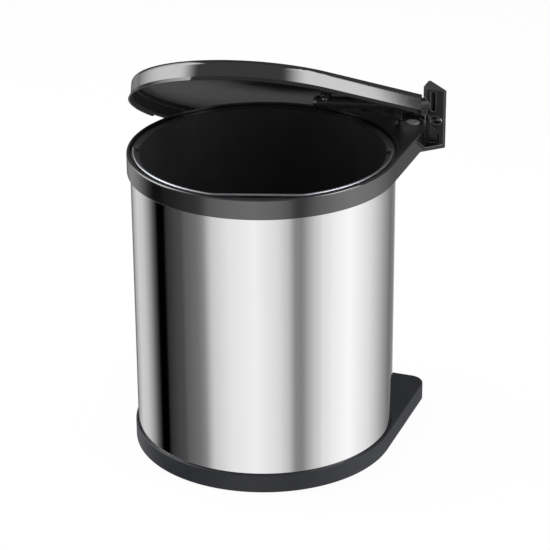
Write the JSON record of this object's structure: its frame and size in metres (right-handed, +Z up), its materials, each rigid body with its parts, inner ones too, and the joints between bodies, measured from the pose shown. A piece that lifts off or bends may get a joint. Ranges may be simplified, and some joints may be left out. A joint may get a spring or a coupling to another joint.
{
  "type": "swing-out cupboard bin",
  "caption": "Round swing-out cupboard bin on a wall bracket, with a steel drum, a black top frame, a lift-out bucket with a wire bail, and a lid that rolls aside as the drum swings out.",
  "frame": {"origin": "middle of the bracket's wall face, level with the top of the drum's frame", "axes": "+X points out of the bracket's back, into the cupboard wall; +Z is up; the drum hangs towards -X, and the swing goes from +Y (shut) to -Y (open)"},
  "size_m": [0.3268, 0.3339, 0.4024],
  "materials": {
    "frame_black": "moulded black plastic with a soft gloss",
    "lid_black": "moulded black plastic with a soft gloss",
    "base_grey": "moulded dark grey plastic, fine satin",
    "bucket_black": "moulded black plastic, satin",
    "drum_steel": "bright stainless sheet with a fine vertical grain",
    "wire_steel": "bright drawn wire",
    "bracket_black": "black powder coat on a die-casting",
    "pin_steel": "turned and zinc-plated steel",
    "screw_steel": "zinc-plated screws",
    "bush_white": "off-white bearing plastic",
    "cap_grey": "plain grey plastic",
    "sleeve_black": "moulded black plastic"
  },
  "bodies": {
    "bracket": {"wall_bracket": "bracket_black", "swing_pin": "pin_steel", "thrust_washer": "pin_steel", "keeper_washer": "pin_steel", "keeper_screw": "screw_steel", "lid_shaft": "pin_steel", "lock_pin": "pin_steel", "shaft_clip": "pin_steel"},
    "bin": {"top_frame": "frame_black", "pivot_bushes": "bush_white", "pivot_cap": "cap_grey", "lift_stud": "pin_steel", "steel_shell": "drum_steel", "frame_screws": "screw_steel", "base": "base_grey", "base_screws": "screw_steel", "inner_bucket": "bucket_black"},
    "bail": {"bail": "wire_steel"},
    "lid": {"lid_shell": "lid_black", "lid_sleeve": "sleeve_black", "sleeve_bushes": "bush_white", "sleeve_screws": "screw_steel"}
  },
  "joints": [
    {"name": "bin_swing", "type": "hinge", "parent": "bracket", "child": "bin", "pos_m": [-0.0285, 0, 0], "axis": [0, 0, 1], "range_deg": [-32.7, 32.7]},
    {"name": "lid_roll", "type": "hinge", "parent": "bracket", "child": "lid", "pos_m": [-0.0285, 0, 0.018], "axis": [-0.8415, 0.5402, 0], "range_deg": [-32.7, 32.7]},
    {"name": "bail_lift", "type": "hinge", "parent": "bin", "child": "bail", "pos_m": [-0.1935, 0, -0.0008], "axis": [-0.891, 0.454, 0], "range_deg": [0, 2.5]}
  ],
  "couplings": [
    {"joint": "lid_roll", "follows": "bin_swing", "ratio": 1}
  ]
}
